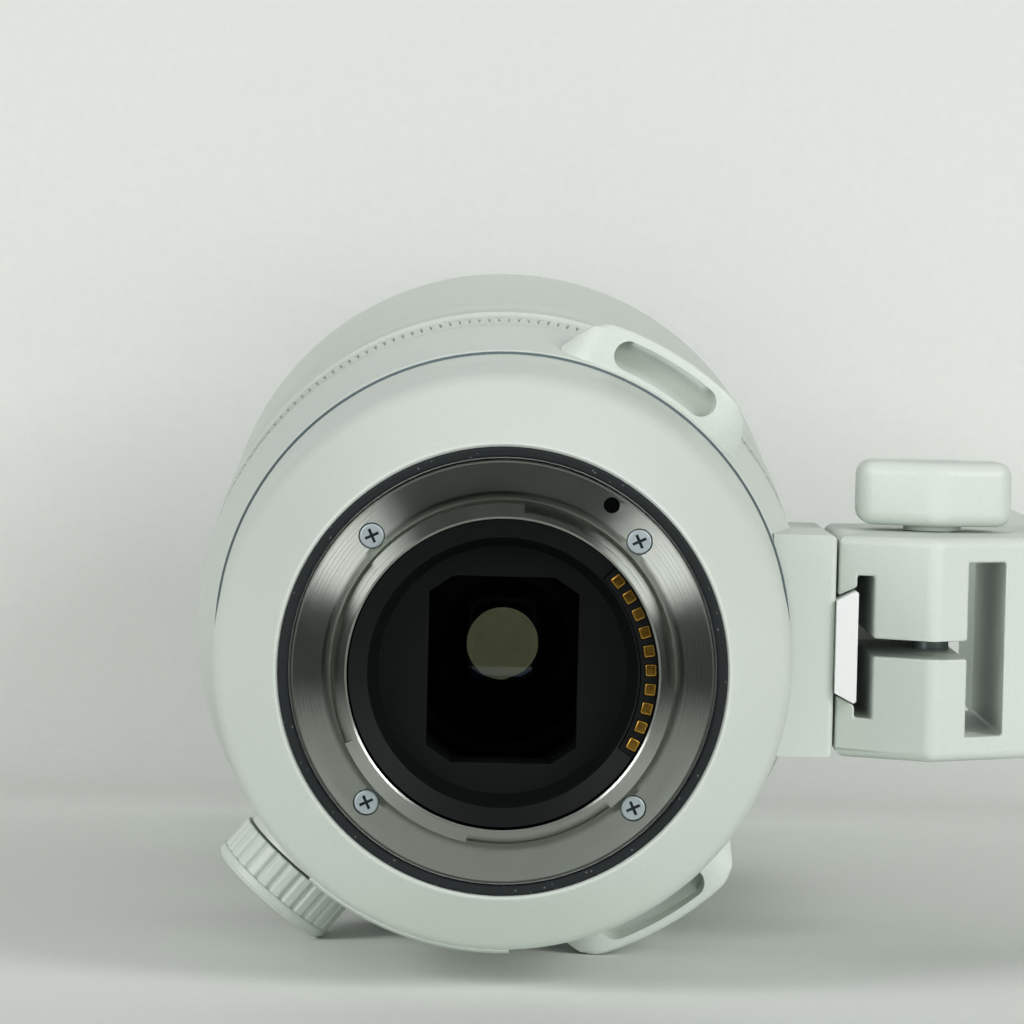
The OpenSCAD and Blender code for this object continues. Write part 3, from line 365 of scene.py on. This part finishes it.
# %% [markdown]
# ## Barrels, mount and rings
# Turned and moulded pieces have small, even rounds, so all the sharp edges of such a piece get one width.
# Clamping keeps the bevels out of each other on narrow ribs and tabs. Of a mount screw only the head's rim is
# rounded: it lies outside HEAD_RIM and above HEAD_TOP, and the cross within it was stamped and stays crisp.

# %% Barrels, mount and rings
def every_edge(middle, length):
    """Test that leaves no edge out."""
    return True


SMALL_ROUNDS_MM = {
    "rear_cover": 0.3, "mount_flange": 0.07, "rear_baffle": 0.12, "contact_block": 0.2,
    "contact_pins": 0.22, "mount_gasket": 0.12, "dovetail_plate": 0.1, "front_barrel": 0.3,
    "switch_barrel": 0.25, "filter_ring": 0.25, "switch_panel": 0.1, "focus_mode_switch": 0.3,
    "focus_range_switch": 0.3, "steady_switch": 0.3, "steady_mode_switch": 0.3, "hold_button_1": 0.35,
    "hold_button_2": 0.35, "hold_button_3": 0.35, "focus_grip": 0.12, "zoom_grip": 0.16}
for name, width in SMALL_ROUNDS_MM.items():
    soften(name, (width, every_edge), clamp=True)

HEAD_TOP, HEAD_RIM, HEAD_AT = 0.15, 1.6, 25.7 / 2 ** 0.5
soften("mount_screws",
       (0.3, lambda middle, length: middle.y < HEAD_TOP
             and hypot(abs(middle.x) - HEAD_AT, abs(middle.z) - HEAD_AT) > HEAD_RIM))

# %% [markdown]
# ## Collar, foot and knobs
# These castings are the softest shapes of the lens. The lugs swell out of the collar, the foot's outer edges
# are rounded by almost two millimetres, the foot knob is close to a pebble, and the ribs of the lock knob are
# round. Their cuts aren't clamped: the short edges round a small hole would narrow them all. Instead each test
# keeps to edges with room beside them, and leaves out the mouth where a strap leaves a lug.

# %% Collar and its lugs
LUG_RIM, LUG_END, LUG_ANGLE = 48.9, 45, 59.25
MOUTH_BACK, MOUTH_FRONT, MOUTH_HALF_ANGLE = 64.8, 69.8, 9
SEAT_ROOT, SEAT_FACE, SEAT_SIDE = 48, 49, 16


def at_lug_rim(middle, length):
    """Outer edges of the lugs, apart from those round the mouth of a strap slot."""
    angle = abs(degrees(atan2(middle.z, middle.x)))
    in_mouth = MOUTH_BACK < middle.y < MOUTH_FRONT and abs(angle - LUG_ANGLE) < MOUTH_HALF_ANGLE
    return hypot(middle.x, middle.z) > LUG_RIM and middle.x < LUG_END and not in_mouth


def at_foot_seat(middle, length):
    """Edges of the seat that carries the foot."""
    return middle.x > SEAT_ROOT and (abs(middle.z) > SEAT_SIDE or middle.x > SEAT_FACE)


soften("tripod_collar", (0.8, at_lug_rim), (1.0, at_foot_seat))

# %% Foot and knobs
FOOT_SIDE, FOOT_INSIDE, FOOT_SHORT = 16.6, 14, 1.2
FOOT_POINT, NEAR = Vector((64, 54.2)), 0.1
KNOB_LONG, RIB_LONG = 4, 3
soften("foot_body",
       (1.6, lambda middle, length: abs(middle.z) > FOOT_SIDE or (middle.xy - FOOT_POINT).length < NEAR),
       (0.4, lambda middle, length: length > FOOT_SHORT and abs(middle.z) < FOOT_INSIDE))
soften("foot_knob", (2.2, lambda middle, length: length > KNOB_LONG))
soften("collar_lock_knob", (0.3, lambda middle, length: length > RIB_LONG), (0.2, every_edge))

# %% [markdown]
# ## Filter thread
# The front rim carries a fine thread for filters. The solid has a plain bore there, because a thread is too
# fine to matter when parts are fitted. A profile could be swept along a helix, but its ends would need
# closing. One tooth's outline is spun round the optical axis for each turn instead, as close rings, which the
# eye can't tell from a helix of 0.75 mm pitch.

# %% Filter thread
THREAD_R, THREAD_FRONT, PITCH, TURNS = 47.3, 317.2, 0.75, 6
ROOT, CREST, SPIN_STEPS = THREAD_R + 0.02, THREAD_R - 0.35, 160
thread = bmesh.new()
for turn in range(TURNS):
    y = THREAD_FRONT - turn * PITCH
    outline = [(ROOT, y), (CREST, y - PITCH / 2), (ROOT, y - PITCH)]
    corners = [thread.verts.new(Vector((r, h, 0)) * MM) for r, h in outline]
    tooth = [thread.edges.new(pair) for pair in zip(corners, corners[1:])]
    bmesh.ops.spin(thread, geom=corners + tooth, cent=(0, 0, 0), axis=(0, 1, 0), angle=2 * pi,
                   steps=SPIN_STEPS, use_merge=True)
bmesh.ops.remove_doubles(thread, verts=thread.verts, dist=MERGE_MM * MM)
bmesh.ops.recalc_face_normals(thread, faces=thread.faces)
mesh = bpy.data.meshes.new("filter_thread")
thread.to_mesh(mesh)
thread.free()
mesh.materials.append(black_metal)
filter_thread = bpy.data.objects.new("filter_thread", mesh)
bpy.context.scene.collection.objects.link(filter_thread)
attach(filter_thread, "barrel")
print("thread faces:", len(mesh.polygons))

# %% [markdown]
# ## Table and wall
# The lens lies on its front barrel, its lock knob and its lower strap lug. The lens stays in its own frame, so
# the table is tilted to pass through those three points. Table and wall could be two planes, but their corner
# would draw a line behind the lens. They are one sheet: a path of three points is rounded at its corner and
# drawn out sideways. The table ends a little way before the mount, where the photograph doesn't look, because
# the mount would mirror more of it.

# %% Table and wall
FRONT_REST = Vector((-0.7, 290.7, -55.71)) * MM
KNOB_REST = Vector((-27.27, 77.4, -47.93)) * MM
LUG_REST = Vector((14.7, 60.9, -47.31)) * MM
up = (LUG_REST - KNOB_REST).cross(FRONT_REST - KNOB_REST).normalized()
along = (Vector((0, 1, 0)) - up * up.y).normalized()
aside = along.cross(up)
WALL_GAP, COVE, COVE_STEPS = 107 * MM, 25 * MM, 16
REACH, HEIGHT, HALF_WIDTH = 560 * MM, 750 * MM, 330 * MM
corner = FRONT_REST + along * WALL_GAP
sheet = bmesh.new()
path = [sheet.verts.new(p - aside * HALF_WIDTH)
        for p in (corner - along * REACH, corner, corner + up * HEIGHT)]
for pair in zip(path, path[1:]):
    sheet.edges.new(pair)
bmesh.ops.bevel(sheet, geom=[path[1]], offset=COVE, segments=COVE_STEPS, profile=0.5, affect="VERTICES",
                material=-1)
drawn = bmesh.ops.extrude_edge_only(sheet, edges=sheet.edges)["geom"]
bmesh.ops.translate(sheet, verts=[g for g in drawn if isinstance(g, bmesh.types.BMVert)],
                    vec=aside * 2 * HALF_WIDTH)
sheet.normal_update()
bmesh.ops.reverse_faces(sheet, faces=[f for f in sheet.faces if f.normal.dot(up - along) < 0])
mesh = bpy.data.meshes.new("table_and_wall")
sheet.to_mesh(mesh)
sheet.free()
mesh.shade_smooth()
table = bpy.data.objects.new("table_and_wall", mesh)
bpy.context.scene.collection.objects.link(table)
print("table tilts", round(degrees(up.angle(Vector((0, 0, 1)))), 2), "degrees")

# %% [markdown]
# ## Matt paint of the sheet
# The sheet is pale and quite matt, with a faint mottle of a couple of millimetres, so that shadows fall on it
# softly and nothing mirrors in it. It is painted on one side only: its back is clear, so that the lens can
# also be looked at from behind the wall.

# %% Matt paint of the sheet
FIBRE_MM, FIBRE_TONES, SHEET_CHIP = 2, (0.97, 1.03), "#eaeee9"
paper, tree, shader, place = finish("table_and_wall_paint", Roughness=0.85)
fibre = add(tree, "ShaderNodeTexNoise", {"Vector": place, "Scale": per_mm(FIBRE_MM), "Detail": 4.0})
tint = add(tree, "ShaderNodeValToRGB", {"Fac": fibre.outputs["Fac"]})
for end, shade in zip(tint.color_ramp.elements, FIBRE_TONES):
    end.color = chip(SHEET_CHIP, shade)
tree.links.new(tint.outputs["Color"], shader.inputs["Base Color"])
bump = add(tree, "ShaderNodeBump", {"Height": fibre.outputs["Fac"], "Strength": 0.1, "Distance": 0.1 * MM})
tree.links.new(bump.outputs["Normal"], shader.inputs["Normal"])
behind = add(tree, "ShaderNodeNewGeometry").outputs["Backfacing"]
clear = add(tree, "ShaderNodeBsdfTransparent")
one_sided = add(tree, "ShaderNodeMixShader", {0: behind, 1: shader.outputs[0], 2: clear.outputs[0]})
tree.links.new(one_sided.outputs[0], tree.nodes["Material Output"].inputs["Surface"])
table.data.materials.append(paper)
print("stage paint:", paper.name)

# %% [markdown]
# ## Camera
# The photograph was taken from 60 cm behind the mount, a little above the axis, with a long lens, and with the
# camera rolled slightly against the lens. A constraint could aim the camera, but three angles, turned into one
# rotation, also hold the roll.

# %% Camera
shot = bpy.data.cameras.new("photo_camera")
shot.lens = 155.7
shot.sensor_width = 36
shot.clip_start = 0.01
camera = bpy.data.objects.new("photo_camera", shot)
bpy.context.scene.collection.objects.link(camera)
camera.location = Vector((-1.5, -600, 50.5)) * MM
pitch, yaw, roll = radians(2.737), radians(0.217), radians(1.3)
aim = Vector((sin(yaw) * cos(pitch), cos(yaw) * cos(pitch), -sin(pitch)))
camera.rotation_mode = "QUATERNION"
camera.rotation_quaternion = aim.to_track_quat("-Z", "Y") @ Quaternion((0, 0, 1), roll)
bpy.context.scene.camera = camera
print("camera at", [round(c, 3) for c in camera.location])

# %% [markdown]
# ## Light
# A large soft light hangs above, and two square ones stand behind the camera, to its left and right. The turned
# mount shows those two as bright spokes. One light behind the camera could do for the paint, but metal would
# show it as a glare, so the fill that stands there is weak, and is kept out of metal and glass.

# %% Lights
def softbox(name, place, target, size, watts, mirrored=True):
    """Area lamp of that width and height in metres, aimed at a point.

    Metal and glass show it only if it is mirrored.
    """
    lamp = bpy.data.lights.new(name, "AREA")
    lamp.shape = "RECTANGLE"
    lamp.size, lamp.size_y = size
    lamp.energy = watts
    box = bpy.data.objects.new(name, lamp)
    box.location = place
    box.visible_glossy = box.visible_transmission = mirrored
    box.rotation_mode = "QUATERNION"
    box.rotation_quaternion = (Vector(target) - Vector(place)).to_track_quat("-Z", "Y")
    bpy.context.scene.collection.objects.link(box)


REAR_BARREL = (0, 0.1, 0)
softbox("overhead", (0, 0.2, 1.1), (0, 0.2, 0), size=(1.6, 1.2), watts=2.2)
softbox("left_window", (-1.4, -1.2, 0.9), REAR_BARREL, size=(0.9, 0.9), watts=18)
softbox("right_window", (1.4, -1.2, 0.9), REAR_BARREL, size=(0.9, 0.9), watts=19)
softbox("front_fill", (0.12, -0.9, 0.08), REAR_BARREL, size=(1.4, 0.35), watts=5, mirrored=False)
bpy.context.scene.view_settings.view_transform = "Standard"

# %% [markdown]
# ## Room and black card
# The room is pale where the camera, metal and glass look at it, but it gives little light, because the lamps
# should shape the lens. The mount's dark spokes come from a black card behind the camera, as a photographer
# would hold up. The camera itself doesn't see the card, so that other views have a pale room all round.

# %% Room
DIM_STRENGTH, PALE_STRENGTH = 0.04, 1.0
world = bpy.data.worlds.new("studio_room")
bpy.context.scene.world = world
world.use_nodes = True
tree = world.node_tree
dim = tree.nodes["Background"]
dim.inputs["Color"].default_value = chip("#f2f4f2")
dim.inputs["Strength"].default_value = DIM_STRENGTH
pale = add(tree, "ShaderNodeBackground", {"Color": chip("#e6eae5"), "Strength": PALE_STRENGTH})
ray = add(tree, "ShaderNodeLightPath").outputs
seen = add(tree, "ShaderNodeMath", {0: ray["Is Camera Ray"], 1: ray["Is Glossy Ray"]}, operation="MAXIMUM")
shown = add(tree, "ShaderNodeMath", {0: seen.outputs[0], 1: ray["Is Transmission Ray"]}, operation="MAXIMUM")
room = add(tree, "ShaderNodeMixShader", {0: shown.outputs[0], 1: dim.outputs[0], 2: pale.outputs[0]})
tree.links.new(room.outputs[0], tree.nodes["World Output"].inputs["Surface"])
print("room:", world.name)

# %% Black card
CARD_HALF_HEIGHT, CARD_ASPECT, CARD_AT = 2.2, 1.4, (0, -1.8, 1.0)
card = bmesh.new()
bmesh.ops.create_grid(card, x_segments=1, y_segments=1, size=CARD_HALF_HEIGHT)
bmesh.ops.scale(card, vec=(CARD_ASPECT, 1, 1), verts=card.verts)
bmesh.ops.rotate(card, cent=(0, 0, 0), matrix=Matrix.Rotation(radians(90), 3, "X"), verts=card.verts)
bmesh.ops.translate(card, vec=CARD_AT, verts=card.verts)
mesh = bpy.data.meshes.new("black_card")
card.to_mesh(mesh)
card.free()
velvet = finish("black_velvet", Base_Color=chip("#070707"), Roughness=0.9, Specular_IOR_Level=0.0)[0]
mesh.materials.append(velvet)
black_card = bpy.data.objects.new("black_card", mesh)
black_card.visible_camera = False
bpy.context.scene.collection.objects.link(black_card)
print("black card:", round(2 * CARD_HALF_HEIGHT * CARD_ASPECT, 2), "by", 2 * CARD_HALF_HEIGHT, "metres")
